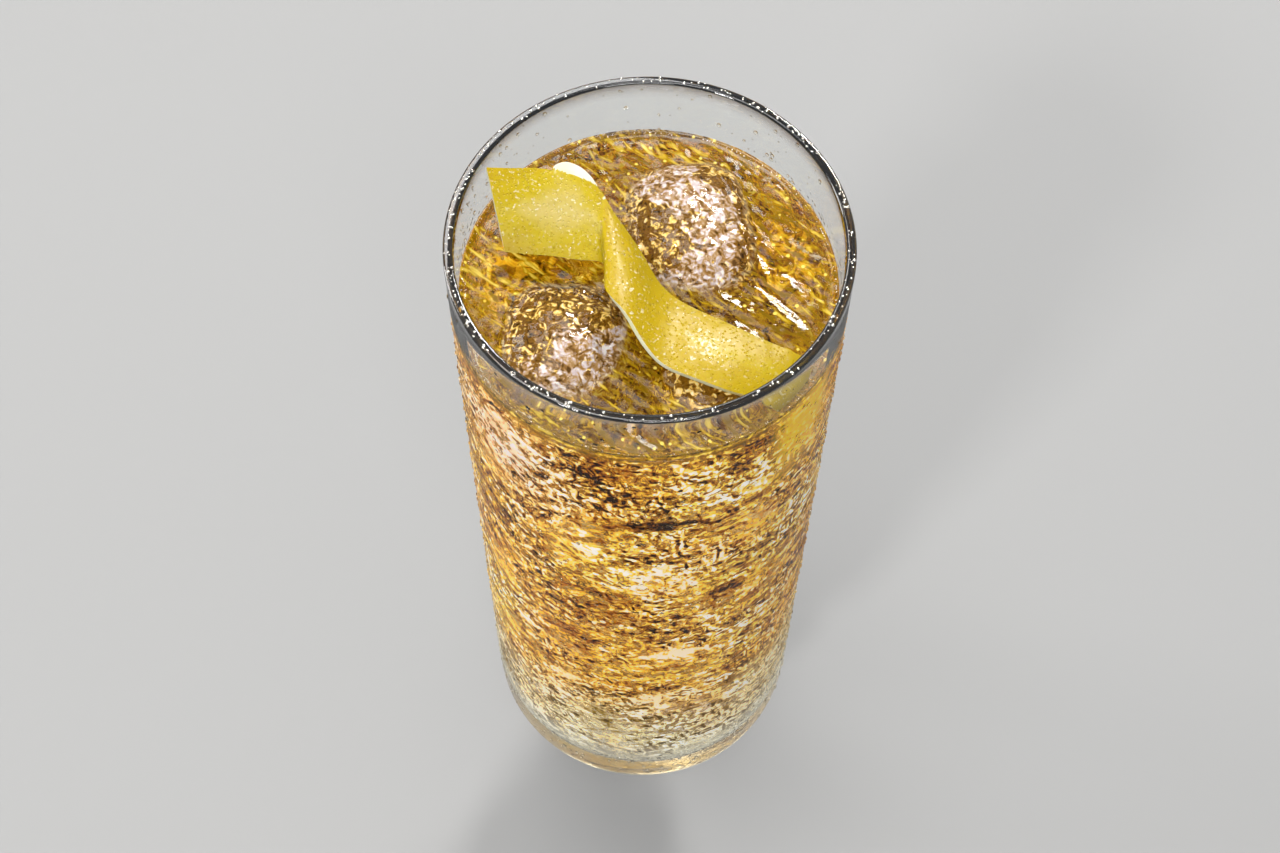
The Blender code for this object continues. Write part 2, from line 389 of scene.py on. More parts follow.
tumbler = {
    "baseRadius": 30.0 * mm,       # where the straight wall, drawn on, meets the floor
    "heelRadius": 8.0 * mm,
    "wallAtRim": 1.6 * mm,
    "rimFillet": 0.45 * mm,
    "wallAtFloor": 2.2 * mm,
    "baseThickness": 9.0 * mm,
    "innerHeelRadius": 7.0 * mm,
    "punt": 0.7 * mm,              # how far the underside is hollow
    "restRadius": 21.0 * mm,
    "wallSteps": 48,
    "sides": 256,
    "clearColour": (0.985, 0.995, 0.99, 1.0),
    "index": 1.42,
    "specular": 0.05,
    "quietShare": 0.65,            # share of the wall that bends light and mirrors none
    "quietFrom": (10.0 * mm, 15.0 * mm),
    "lipDepth": (0.6 * mm, 0.3 * mm),
    # painted shade: the dark line on the inner part of the rim
    "lipColour": (0.03, 0.025, 0.02, 1.0),
    "lipCoatIndex": 1.75,
    "brightEdge": 0.80 * mm,       # outer part of the rim that the painted dark line leaves clear
    "mistScale": 1000,             # cells of fine mist in a metre
    "mistReach": 0.55,             # share of a cell that its bead takes
    "mistStrength": 0.5,
    "mistDepth": 0.2 * mm,
    "mistFrom": (12.0 * mm, 30.0 * mm),
    "mistUntil": (144.0 * mm, 152.0 * mm),
    "mistPatches": (70, 0.30, 0.60),   # scale, and the range over which a patch turns wet
}


def outerRadius(height):
    return tumbler["baseRadius"] + (rimRadius - tumbler["baseRadius"]) * height / rimHeight


def innerRadius(height):
    share = (height - tumbler["baseThickness"]) / (rimHeight - tumbler["baseThickness"])
    wall = tumbler["wallAtFloor"] + (tumbler["wallAtRim"] - tumbler["wallAtFloor"]) * share
    return outerRadius(height) - wall


def innerProfile(grow, top):  # hollow of the glass from its floor up, larger all round by grow
    floor = tumbler["baseThickness"] - grow
    heel = tumbler["innerHeelRadius"]
    heelHeight = floor + heel
    points = [(2.0 * mm, floor), (12.0 * mm, floor)]
    points += arcPoints((innerRadius(heelHeight) + grow - heel, heelHeight), heel, -90, 0, 14)
    for step in range(1, tumbler["wallSteps"] + 1):
        height = heelHeight + (top - heelHeight) * step / tumbler["wallSteps"]
        points.append((innerRadius(height) + grow, height))
    return points


def mistHeight(tree, place, height, away):  # fine beads on the cold part of the outside
    reach, _ = cellsAt(tree, place, tumbler["mistScale"])
    caps = rampBetween(tree, reach, 0.0, tumbler["mistReach"], falling)
    caps.node.color_ramp.interpolation = "EASE"
    flare = times(tree, height, (rimRadius - tumbler["baseRadius"]) / rimHeight)
    outside = combine(tree, "GREATER_THAN", minus(tree, away, flare),
                      tumbler["baseRadius"] - 0.5 * mm)
    cold = times(tree, rampBetween(tree, height, *tumbler["mistFrom"]),
                 rampBetween(tree, height, *tumbler["mistUntil"], falling))
    scale, dry, wet = tumbler["mistPatches"]
    patches = rampBetween(tree, objectNoise(tree, scale), dry, wet)
    return times(tree, times(tree, caps, patches), times(tree, outside, cold))


def makeClearGlass():
    material, tree = newMaterial("clearGlass")
    clear = tumbler["clearColour"]
    place = objectPlace(tree)
    height = splitAxes(tree, place)[2]
    away = combineVectors(tree, "LENGTH", combineVectors(tree, "MULTIPLY", place, (1, 1, 0)))
    lipLow, lipHigh = tumbler["lipDepth"]
    lip = rampBetween(tree, height, rimHeight - lipLow, rimHeight - lipHigh)
    within = combine(tree, "LESS_THAN", away, rimRadius - tumbler["brightEdge"])
    # painted shade: a dark line on the inner part of the rim, standing in for the dark surroundings
    # that the rim shows
    tone = mixColours(tree, "MIX", times(tree, lip, within), clear, tumbler["lipColour"])
    mist = mistHeight(tree, place, height, away)
    mist = bumpFrom(tree, mist, tumbler["mistStrength"], tumbler["mistDepth"])
    shader = setShader(tree, Base_Color=tone, Roughness=0.0, IOR=tumbler["index"], Normal=mist,
                       Transmission_Weight=1.0, Specular_IOR_Level=tumbler["specular"],
                       Coat_Weight=lip, Coat_IOR=tumbler["lipCoatIndex"])
    quiet = addNode(tree, "BsdfRefraction", {"Color": clear, "Roughness": 0.0, "Normal": mist,
                                             "IOR": tumbler["index"]})
    above = rampBetween(tree, height, *tumbler["quietFrom"])
    wall = times(tree, minus(tree, above, lip), tumbler["quietShare"])
    blend = addNode(tree, "MixShader", {0: wall, 1: shader.outputs[0], 2: quiet.outputs[0]})
    feed(tree, tree.nodes["Material Output"], {"Surface": blend.outputs[0]})
    return material


def addTumbler():
    heel = tumbler["heelRadius"]
    lip = tumbler["rimFillet"]
    rest = tumbler["restRadius"]
    profile = []
    for share in (0.1, 0.35, 0.6, 0.8, 0.93):
        profile.append((rest * share, tumbler["punt"] * (1 - share ** 2)))
    profile.append((rest, 0.0))
    profile += arcPoints((outerRadius(heel) - heel, heel), heel, -90, 0, 18)
    for step in range(1, tumbler["wallSteps"]):
        height = heel + (rimHeight - lip - heel) * step / tumbler["wallSteps"]
        profile.append((outerRadius(height), height))
    profile += arcPoints((rimRadius - lip, rimHeight - lip), lip, 0, 90, 8)
    profile += arcPoints((rimRadius - tumbler["wallAtRim"] + lip, rimHeight - lip), lip, 90, 180, 8)
    profile += list(reversed(innerProfile(0.0, rimHeight - lip)))[1:]
    glass = turnProfile("highballGlass", profile, tumbler["sides"])
    shadeSmooth(glass)
    dress(glass, makeClearGlass(), "clear_glass", "glass", clear=True)
    print("glass turned")


# Ice: three pieces that break the surface, made from the frame's, and sunk ones below them

ice = {
    "film": 0.25 * mm,             # drink that lies over the ice
    "indexInDrink": 1.16,
    "wallGap": 0.8 * mm,
    # painted glow: share of its painted colour that the ice gives off as light
    "glow": 0.32,
    "roughness": 0.15,
    "surfaceRelief": {"scale": 560, "gain": 0.75, "cover": (0.02, 0.12), "depth": 0.3 * mm},
    "sunkRelief": {"scale": 200, "gain": 1.6, "cover": (0.0, 0.04), "depth": 0.6 * mm},
    "reliefShift": (0.3 * mm, 0.3 * mm, 0.3 * mm),
    "crackleStrength": 0.6,
    # the frost's pale colour, with painted shade in its browns and painted highlights in its lilac
    # whites
    "frostPalette": [
        (0.30, (0.10, 0.045, 0.01, 1)),
        (0.41, (0.32, 0.17, 0.05, 1)),
        (0.50, (0.46, 0.31, 0.18, 1)),
        (0.58, (0.58, 0.50, 0.60, 1)),
        (0.76, (0.92, 0.91, 1.0, 1)),
    ],
    # the ice's amber, with painted shade in its dark browns and painted highlights in its cream
    # whites
    "amberPalette": [
        (0.28, (0.03, 0.012, 0.001, 1)),
        (0.40, (0.22, 0.10, 0.008, 1)),
        (0.50, (0.50, 0.27, 0.03, 1)),
        (0.62, (0.86, 0.58, 0.14, 1)),
        (0.78, (1.0, 0.90, 0.66, 1)),
    ],
    "hollowSize": 9.0 * mm,
    "hollowDepth": 2.4 * mm,
    "dimpleSize": 2.2 * mm,
    "dimpleDepth": 0.5 * mm,
    "frostStir": (210, 9.0 * mm),  # scale and swing of what tears the patches' edges
    "frostClouds": (110, 0.42, 0.47),
    "frostHoles": (520, 0.36, 0.46),
    "frostedBelow": 128.0 * mm,
    "shown": (("ice_back", "iceBack"), ("ice_front", "iceFront"), ("ice_side", "iceSide")),
    "frostPlaces": [               # centre and reach of the frosty patches in millimetres
        ((2.6, 19.8, 148.0), 5.2),
        ((7.5, 15.6, 148.5), 5.0),
        ((11.5, 11.0, 148.5), 4.6),
        ((9.6, 1.6, 148.0), 5.4),
        ((4.6, -1.0, 147.5), 3.6),
        ((-9.6, -15.2, 147.5), 6.0),
        ((-4.6, -12.4, 147.5), 5.2),
        ((-1.5, -16.4, 147.0), 4.6),
        ((-15.2, -17.2, 146.5), 4.4),
    ],
    "sunk": [                      # place and size in millimetres, turns in degrees, roundness
        ((19.5, 8.0, 135.5), (15, 17, 14), (25, 15, 40), 0.45),
        ((-20.0, 3.0, 137.0), (13, 17, 12), (-20, 10, 20), 0.45),
        ((18.5, -5.0, 127.0), (12, 15, 14), (10, 30, 15), 0.45),
        ((-2.0, -22.0, 124.0), (16, 9, 16), (15, 10, 12), 0.50),
        ((1.5, -16.0, 100.0), (22, 14, 16), (10, 15, 8), 0.50),
        ((10.5, 8.5, 108.5), (27, 26, 23), (12, 20, 35), 0.45),
        ((-12.5, 8.0, 105.0), (24, 27, 25), (35, -10, 10), 0.40),
        ((-9.0, -13.5, 101.0), (25, 22, 26), (-20, 15, 50), 0.50),
        ((13.0, -11.5, 100.0), (23, 24, 22), (10, 30, 70), 0.45),
        ((1.0, 12.5, 83.0), (28, 23, 22), (25, 10, -20), 0.45),
        ((-13.5, -1.5, 76.5), (23, 26, 24), (15, 35, 15), 0.50),
        ((11.5, -8.0, 74.0), (27, 26, 23), (-15, 20, 40), 0.45),
        ((-3.0, -14.0, 54.0), (25, 21, 22), (30, 5, 25), 0.50),
        ((2.0, 9.5, 52.0), (27, 25, 24), (5, 25, 60), 0.45),
        ((14.0, -13.0, 47.0), (18, 17, 18), (20, 35, 30), 0.50),
        ((-16.0, -13.0, 34.0), (16, 14, 15), (10, 5, 50), 0.55),
        ((6.0, -15.5, 30.0), (19, 16, 14), (20, 10, 15), 0.55),
    ],
}


def frostMask(tree):  # 1 on the crackled patches, with torn edges and holes
    place = objectPlace(tree)
    scale, swing = ice["frostStir"]
    stir = noiseAt(tree, place, scale, 3.0, output="Color")
    stir = combineVectors(tree, "SUBTRACT", stir, (0.5, 0.5, 0.5))
    torn = combineVectors(tree, "ADD", place, combineVectors(tree, "SCALE", stir, Scale=swing))
    patches = 0.0
    for centre, reach in ice["frostPlaces"]:
        away = combineVectors(tree, "DISTANCE", torn, tuple(c * mm for c in centre))
        patches = combine(tree, "MAXIMUM", combine(tree, "LESS_THAN", away, reach * mm), patches)
    below = combine(tree, "LESS_THAN", splitAxes(tree, place)[2], ice["frostedBelow"])
    scale, low, high = ice["frostClouds"]
    clouds = rampBetween(tree, objectNoise(tree, scale, 2.0), low, high)
    patches = combine(tree, "MAXIMUM", patches, times(tree, below, clouds))
    scale, low, high = ice["frostHoles"]
    holes = rampBetween(tree, objectNoise(tree, scale, 4.0, 1.5), low, high)
    return times(tree, patches, holes)


def makeIce(name, scale, gain, cover, depth):
    material, tree = newMaterial(name)
    frost = frostMask(tree)
    paintedShadeAndRelief = reliefAndPaintedShadeNoise(tree, scale, (1, 1, 1), ice["reliefShift"], gain, distortion=1.6)
    paintedShadeAndRelief = plus(tree, paintedShadeAndRelief, paintedFacetShade(tree, scale * 1.6, 0.24))
    # the ice's colour is painted light and shade, read off the relief
    colour = mixColours(tree, "MIX", frost, paletteRamp(tree, paintedShadeAndRelief, ice["amberPalette"]),
                        paletteRamp(tree, paintedShadeAndRelief, ice["frostPalette"]))
    hidden = combine(tree, "MAXIMUM", frost, coverRamp(tree, paintedShadeAndRelief, *cover))
    crackle = bumpFrom(tree, paintedShadeAndRelief, ice["crackleStrength"], depth)
    setShader(tree, Base_Color=colour, Roughness=ice["roughness"], IOR=ice["indexInDrink"],
              Transmission_Weight=minus(tree, 1.0, hidden), Normal=crackle,
              # painted glow: the painted colour is also given off as light
              Emission_Color=colour, Emission_Strength=times(tree, hidden, ice["glow"]))
    return material


def weatherIce(piece, hollows):  # melted hollows, then fine dimples
    displaceBy(piece, "CLOUDS", ice["hollowSize"] * hollows, ice["hollowDepth"] * hollows)
    displaceBy(piece, "CLOUDS", ice["dimpleSize"], ice["dimpleDepth"], noise_depth=2)
    outwardNormals(piece)
    shadeSmooth(piece)


def addSurfaceIce(nodeName, pieceName, material):
    deselectAll()
    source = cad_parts[nodeName]
    piece = source.copy()
    piece.data = source.data.copy()
    for key in list(piece.keys()):
        del piece[key]
    piece.parent = None
    bpy.context.collection.objects.link(piece)
    piece.name = pieceName
    piece.data.name = pieceName
    outwardNormals(piece)
    makeActive(piece)
    bpy.ops.object.mode_set(mode="EDIT")
    bpy.ops.mesh.select_all(action="SELECT")
    bpy.ops.mesh.tris_convert_to_quads(face_threshold=math.radians(60),
                                       shape_threshold=math.radians(60))
    bpy.ops.object.mode_set(mode="OBJECT")
    subdivideSmooth(piece, 3)
    weatherIce(piece, 0.5)
    dress(piece, material, "clear_ice", nodeName)
    return piece


def addSunkIce(index, material):
    place, size, turns, roundness = ice["sunk"][index]
    deselectAll()
    bpy.ops.mesh.primitive_cube_add(size=1, location=[c * mm for c in place],
                                    rotation=[math.radians(t) for t in turns],
                                    scale=[s * mm for s in size])
    piece = bpy.context.object
    piece.name = f"sunkIce{index + 1}"
    centre = Vector(place) * mm
    bpy.ops.object.transform_apply(location=True, rotation=True, scale=True)
    bpy.ops.object.mode_set(mode="EDIT")
    bpy.ops.mesh.select_all(action="SELECT")
    bpy.ops.mesh.subdivide(number_cuts=5)
    bpy.ops.transform.tosphere(value=roundness, center_override=centre)
    bpy.ops.object.mode_set(mode="OBJECT")
    subdivideSmooth(piece, 3)
    weatherIce(piece, 1.0)
    for vert in piece.data.vertices:   # lies against the wall, never in it
        radius = math.hypot(vert.co.x, vert.co.y)
        limit = innerRadius(vert.co.z) - ice["wallGap"]
        if radius > limit:
            vert.co.x *= limit / radius
            vert.co.y *= limit / radius
    dress(piece, material, "clear_ice")
    return piece


def addIce():
    material = makeIce("meltingIce", **ice["surfaceRelief"])
    shown = [addSurfaceIce(nodeName, pieceName, material) for nodeName, pieceName in ice["shown"]]
    material = makeIce("sunkIce", **ice["sunkRelief"])
    sunk = [addSunkIce(index, material) for index in range(len(ice["sunk"]))]
    print("ice made:", len(shown), "at the surface and", len(sunk), "sunk")
    return shown, sunk


# Drink: reaches just into the wall, its surface climbs the wall and covers the ice with a film

drink = {
    "overlap": 0.08 * mm,
    "climb": 0.9 * mm,
    "climbReach": 0.8 * mm,
    "iceClimb": 0.9 * mm,
    "iceClimbReach": 1.1 * mm,
    "ripple": 0.35 * mm,
    "rippleLength": 7.0 * mm,
    "rippleWidth": 2.4 * mm,
    "rippleSlant": math.radians(-38),
    "filmFade": 1.5 * mm,          # depth of ice at which the drink over it counts as deep
    "fineRipple": 1.3 * mm,
    "fineDepth": 0.06 * mm,
    "index": 1.34,
    "specular": 0.1,
    "coatIndex": 2.2,
    "peelAngle": -37.5,            # degrees round the axis
    "peelReach": 15.0,
    "glint": 0.035,
    "edgeGlint": 0.6,
    "edgeGlintReach": 2.0 * mm,
    "edgeGlintFrom": 15.0 * mm,    # only at the back
    "glow": 0.56,                  # painted glow: share of its painted colour that the drink gives off as light
    "topTint": (0.50, 0.275, 0.004),  # fades to white where the drink only films the ice
    "iceTint": (1.0, 0.88, 0.60),
    "sideTint": (1.0, 0.55, 0.06),
    # painted refraction: the yellow of the peel's end as seen through the wall
    "lemonColour": (0.95, 0.60, 0.008, 1.0),
    "hazeColour": (0.80, 0.66, 0.74, 1.0),
    "footTint": (0.96, 0.93, 0.80),
    # the drink's amber and gold, with painted shade in its darks and painted highlights in its
    # whites
    "sidePalette": [
        (0.16, (0.015, 0.004, 0.0, 1)),
        (0.33, (0.26, 0.070, 0.001, 1)),
        (0.46, (0.98, 0.35, 0.001, 1)),
        (0.60, (1.0, 0.53, 0.012, 1)),
        (0.76, (1.0, 0.74, 0.13, 1)),
        (0.90, (1.0, 0.97, 0.94, 1)),
    ],
    # painted light and shade at the foot, from dark shade to white highlights
    "footPalette": [
        (0.22, (0.10, 0.055, 0.006, 1)),
        (0.40, (0.42, 0.27, 0.035, 1)),
        (0.54, (0.66, 0.49, 0.12, 1)),
        (0.68, (0.92, 0.80, 0.42, 1)),
        (0.84, (1.0, 0.99, 0.92, 1)),
    ],
    # painted light and shade on top, from dark shade to bright gold glints
    "topPalette": [
        (0.24, (0.005, 0.002, 0.0, 1)),
        (0.38, (0.040, 0.022, 0.0, 1)),
        (0.50, (0.145, 0.088, 0.0, 1)),
        (0.62, (0.36, 0.24, 0.003, 1)),
        (0.80, (0.95, 0.78, 0.16, 1)),
    ],
    "sideMarks": [                 # painted highlights and painted shade: x and z, half width and half height in millimetres, lightness
        ((0.5, 101.0), (9.0, 8.0), 0.34),
        ((-11.0, 138.0), (5.0, 2.5), -0.26),
        ((2.0, 123.5), (6.5, 2.2), -0.34),
        ((-3.0, 86.0), (9.0, 2.4), -0.20),
        ((-12.0, 73.0), (7.0, 2.4), -0.22),
        ((14.0, 92.0), (5.0, 2.4), -0.22),
        ((1.0, 47.0), (4.0, 3.5), 0.40),
        ((6.0, 69.0), (6.0, 2.4), 0.36),
        ((9.0, 129.0), (6.0, 2.0), 0.22),
        ((-9.0, 112.0), (3.0, 2.5), 0.24),
        ((-14.0, 50.0), (6.0, 3.0), 0.22),
        ((-20.0, 132.0), (8.0, 10.0), 0.12),
    ],
    "sideRelief": {"scale": 420, "lengths": (1, 1, 1.2), "shift": (0.3 * mm, 0.3 * mm, 0.6 * mm),
                   "gain": 2.0, "distortion": 1.6},
    "topRelief": {"scale": 500, "lengths": (2.6, 0.8, 1), "shift": (0.3 * mm, 0.5 * mm, 0.0),
                  "gain": 0.65, "turn": math.radians(-38), "distortion": 1.1},
    "sideMiddle": 0.52,            # lightness around which the side's painted shade swings
    "busyShare": (0.85, 0.35),     # how much and from what the side's painted shade swells in places
    "streaks": 1.35,
    "facets": ((330, 0.10), (110, 0.13)),
    "sideDots": (620, 0.40, 0.45), # scale, radius and share of the cells
    "topDots": (850, 0.30, 0.10),
    "dotShares": (0.40, 0.35),     # lightness of the painted highlight dots, which stand for glinting bubbles, at the side and on top
    "swells": 0.55,
    "meniscus": (                  # depth, half height and lightness of the painted lines at the level: a painted shade line and a painted highlight line
        (0.9 * mm, 0.4 * mm, -0.45),
        (0.1 * mm, 0.3 * mm, 0.35),
    ),
    "markTear": 1.6,
    "footSway": 0.04,
    "footFade": (52.0 * mm, 72.0 * mm),
    "tones": ((1, 0.80, 0.5, 1), (1, 1, 1, 1)),
    "cover": (0.02, 0.14),
    "lemonShares": (0.95, 0.8),    # how much of the drink and of its colour the painted view of the peel's end covers
    "hazeShare": 0.5,
    "hazePlace": (-21.0, 133.0),   # x and z in millimetres, on the front
    "hazeReach": (8.0, 12.0),
    "lemonFrom": (120.0 * mm, 16.0 * mm),
    "paintFrom": (11.0 * mm, 12.0 * mm),
    "paintAtFoot": 0.25,
    "paintOnTop": 0.7,
    "swirlStrength": 0.25,
    "swirlDepth": 0.4 * mm,
    "paleBelow": 30.0 * mm,
    "sides": 320,
    "surfaceRings": 90,
}


def addPaintedMarks(tree, x, y, z):  # painted highlights and painted shade on the front, with edges torn by noise
    front = combine(tree, "LESS_THAN", y, 0.0)
    tear = minus(tree, objectNoise(tree, 300), 0.5)
    tear = times(tree, tear, drink["markTear"])
    total = 0.0
    for places, halves, lightness in drink["sideMarks"]:
        squares = []
        for source, middle, half in zip((x, z), places, halves):
            away = combine(tree, "DIVIDE", minus(tree, source, middle * mm), half * mm)
            squares.append(times(tree, away, away))
        away = combine(tree, "SQRT", plus(tree, *squares))
        inside = rampBetween(tree, plus(tree, away, tear), 0.6, 1.1, falling)
        total = combine(tree, "MULTIPLY_ADD", inside, lightness, total)
    return times(tree, total, front)


def sidePaintedShade(tree, x, y, z):  # painted light and shade: broken light and dark of ice and bubbles, painted on the drink's side where they are seen through the wall
    dotHighlight, _ = drink["dotShares"]
    swell, least = drink["busyShare"]
    busy = rampBetween(tree, objectNoise(tree, 85, 2.0), 0.40, 0.60)
    busy = combine(tree, "MULTIPLY_ADD", busy, swell, least)
    side = minus(tree, reliefAndPaintedShadeNoise(tree, **drink["sideRelief"]), 0.5)
    side = combine(tree, "MULTIPLY_ADD", side, busy, drink["sideMiddle"])
    # painted dark streaks and painted highlight streaks
    streaks = minus(tree, objectNoise(tree, 120, 3.0, 2.0, (1, 1, 1.7)), 0.5)
    side = combine(tree, "MULTIPLY_ADD", streaks, drink["streaks"], side)
    for scale, amount in drink["facets"]:
        side = plus(tree, side, paintedFacetShade(tree, scale, amount))
    crowd = rampBetween(tree, objectNoise(tree, 75, 2.0), 0.42, 0.62)
    # painted highlights: bright dots for glinting bubbles
    dots = times(tree, dotNoise(tree, *drink["sideDots"]), crowd)
    side = combine(tree, "MULTIPLY_ADD", dots, dotHighlight, side)
    for depth, reach, lightness in drink["meniscus"]:
        side = plus(tree, side, bandAt(tree, z, level - depth, reach, lightness))
    return plus(tree, side, addPaintedMarks(tree, x, y, z))


def topPaintedShade(tree):  # painted light and shade of the surface's ripples and swells
    _, dotHighlight = drink["dotShares"]
    top = reliefAndPaintedShadeNoise(tree, **drink["topRelief"])
    top = combine(tree, "MULTIPLY_ADD", dotNoise(tree, *drink["topDots"]), dotHighlight, top)
    swells = minus(tree, objectNoise(tree, 130, 3.0, 1.5), 0.5)
    return combine(tree, "MULTIPLY_ADD", swells, drink["swells"], top)


def makeGoldenDrink():
    material, tree = newMaterial("goldenDrink")
    tint = addNode(tree, "Attribute", attribute_name="tint").outputs["Color"]
    onTop = attributeShare(tree, "onTop")
    lemon = attributeShare(tree, "lemon")
    onSide = minus(tree, 1.0, onTop)
    x, y, z = splitAxes(tree, objectPlace(tree))
    side = sidePaintedShade(tree, x, y, z)
    paintedShadeAndRelief = plus(tree, times(tree, onTop, topPaintedShade(tree)), times(tree, onSide, side))

    hides, colours = drink["lemonShares"]
    cover = times(tree, coverRamp(tree, paintedShadeAndRelief, *drink["cover"]), attributeShare(tree, "paint"))
    cover = combine(tree, "MAXIMUM", cover, times(tree, lemon, hides))

    sway = combine(tree, "MULTIPLY_ADD", objectNoise(tree, 60, 2.0), drink["footSway"], z)
    foot = rampBetween(tree, sway, *drink["footFade"], falling)
    # the colour is painted light and shade, read off the palettes
    shades = mixColours(tree, "MIX", foot, paletteRamp(tree, paintedShadeAndRelief, drink["sidePalette"]),
                        paletteRamp(tree, paintedShadeAndRelief, drink["footPalette"]))
    shades = mixColours(tree, "MIX", onTop, shades, paletteRamp(tree, paintedShadeAndRelief, drink["topPalette"]))
    tone = rampBetween(tree, objectNoise(tree, 55, 2.0), 0.38, 0.62, drink["tones"])
    shades = mixColours(tree, "MULTIPLY", onSide, shades, tone)
    # painted refraction: the peel's end painted where it is seen through the wall
    shades = mixColours(tree, "MIX", times(tree, lemon, colours), shades, drink["lemonColour"])
    lilac = times(tree, attributeShare(tree, "haze"), rampBetween(tree, side, 0.42, 0.60))
    shades = mixColours(tree, "MIX", times(tree, lilac, drink["hazeShare"]), shades,
                        drink["hazeColour"])
    colour = mixColours(tree, "MIX", cover, tint, shades)
    swirl = objectNoise(tree, 260, 3.0, 1.2, (1.0, 2.2, 1.0))
    swirl = bumpFrom(tree, swirl, drink["swirlStrength"], drink["swirlDepth"])
    setShader(tree, Base_Color=colour, Roughness=0.0, IOR=drink["index"], Normal=swirl,
              Transmission_Weight=minus(tree, 1.0, cover), Specular_IOR_Level=drink["specular"],
              Coat_Weight=attributeShare(tree, "glint"), Coat_IOR=drink["coatIndex"],
              # painted glow: the painted colour is also given off as light
              Emission_Color=colour, Emission_Strength=times(tree, cover, drink["glow"]))
    return material


def softMaximum(a, b, blend):
    h = max(blend - abs(a - b), 0.0) / blend
    return max(a, b) + h * h * blend / 4


def surfaceHeight(x, y, wallRadius, iceTrees):
    radius = math.hypot(x, y)
    rise = drink["climb"] * math.exp(-(wallRadius - radius) / drink["climbReach"])
    overIce = 0.0
    for tree in iceTrees:
        place = Vector((x, y, level))
        nearest = tree.find_nearest(place)
        hit = tree.ray_cast(Vector((x, y, level + 0.02)), Vector((0, 0, -1)))
        around = drink["iceClimb"] * math.exp(-nearest[3] / drink["iceClimbReach"])
        dome = -0.01
        if hit[0] is not None:
            dome = hit[0].z + ice["film"] - level
            overIce = max(overIce, limitShare(1.0 + dome / drink["filmFade"]))
        rise = softMaximum(rise, softMaximum(around, dome, 0.6 * mm), 0.4 * mm)
    slant = drink["rippleSlant"]
    along = x * math.cos(slant) + y * math.sin(slant)
    across = y * math.cos(slant) - x * math.sin(slant)
    broad = noise.noise(Vector((along / drink["rippleLength"], across / drink["rippleWidth"], 0.0)))
    fine = noise.noise(Vector((x, y, 0.01)) / drink["fineRipple"])
    wave = drink["ripple"] * broad + drink["fineDepth"] * fine
    height = level + rise + wave * min(1.0, (wallRadius - radius) / (2 * mm)) * (1 - 0.7 * overIce)
    return height, overIce


def sideLook(place):  # shares and tint that the drink's material reads at the side and the foot
    x, y, z = place
    pale = limitShare(1.6 - z / drink["paleBelow"])
    start, reach = drink["paintFrom"]
    least = drink["paintAtFoot"]
    turned = abs(math.degrees(math.atan2(y, x)) - drink["peelAngle"]) / drink["peelReach"]
    lemonStart, lemonReach = drink["lemonFrom"]
    look = {
        "tint": Vector(drink["sideTint"]).lerp(Vector(drink["footTint"]), pale),
        "paint": least + (1 - least) * limitShare((z - start) / reach),
        "lemon": limitShare(2.0 - 2.0 * turned) * limitShare((z - lemonStart) / lemonReach),
    }
    if y < 0:
        away = [(value / mm - middle) / reach
                for value, middle, reach in zip((x, z), drink["hazePlace"], drink["hazeReach"])]
        look["haze"] = math.exp(-away[0] ** 2 - away[1] ** 2)
    return look


def topLook(place, wallRadius, overIce):
    inset = wallRadius - math.hypot(place.x, place.y)
    edge = limitShare(place.y / drink["edgeGlintFrom"]) * math.exp(-inset / drink["edgeGlintReach"])
    return {
        "tint": Vector(drink["topTint"]).lerp(Vector(drink["iceTint"]), overIce),
        "paint": drink["paintOnTop"] * (1 - overIce),
        "onTop": 1.0,
        "glint": drink["glint"] + drink["edgeGlint"] * edge,
    }


def addDrink(surfaceIce):
    wallRadius = innerRadius(level) + drink["overlap"]
    profile = innerProfile(drink["overlap"], level)
    rings = drink["surfaceRings"]
    for ring in range(1, rings + 1):
        share = 1 - (1 - ring / (rings + 1)) ** 1.25
        profile.append((wallRadius * (1 - share) + 0.2 * mm * share, level))
    body = turnProfile("goldenDrink", profile, drink["sides"])
    trees = [BVHTree.FromPolygons([v.co for v in piece.data.vertices],
                                  [p.vertices for p in piece.data.polygons])
             for piece in surfaceIce]
    shares = ("glint", "paint", "onTop", "lemon", "haze")
    for name in shares:
        body.data.attributes.new(name, "FLOAT", "POINT")
    body.data.attributes.new("tint", "FLOAT_COLOR", "POINT")
    fields = {name: body.data.attributes[name].data for name in shares + ("tint",)}
    for vert in body.data.vertices:
        if vert.co.z > level - 0.05 * mm:
            vert.co.z, overIce = surfaceHeight(vert.co.x, vert.co.y, wallRadius, trees)
            look = topLook(vert.co, wallRadius, overIce)
        else:
            look = sideLook(vert.co)
        for name in shares:
            fields[name][vert.index].value = look.get(name, 0.0)
        fields["tint"][vert.index].color = (*look["tint"], 1)
    shadeSmooth(body)
    dress(body, makeGoldenDrink(), "golden_drink", "drink", clear=True)
    print("drink poured")
    return trees


# Lemon peel

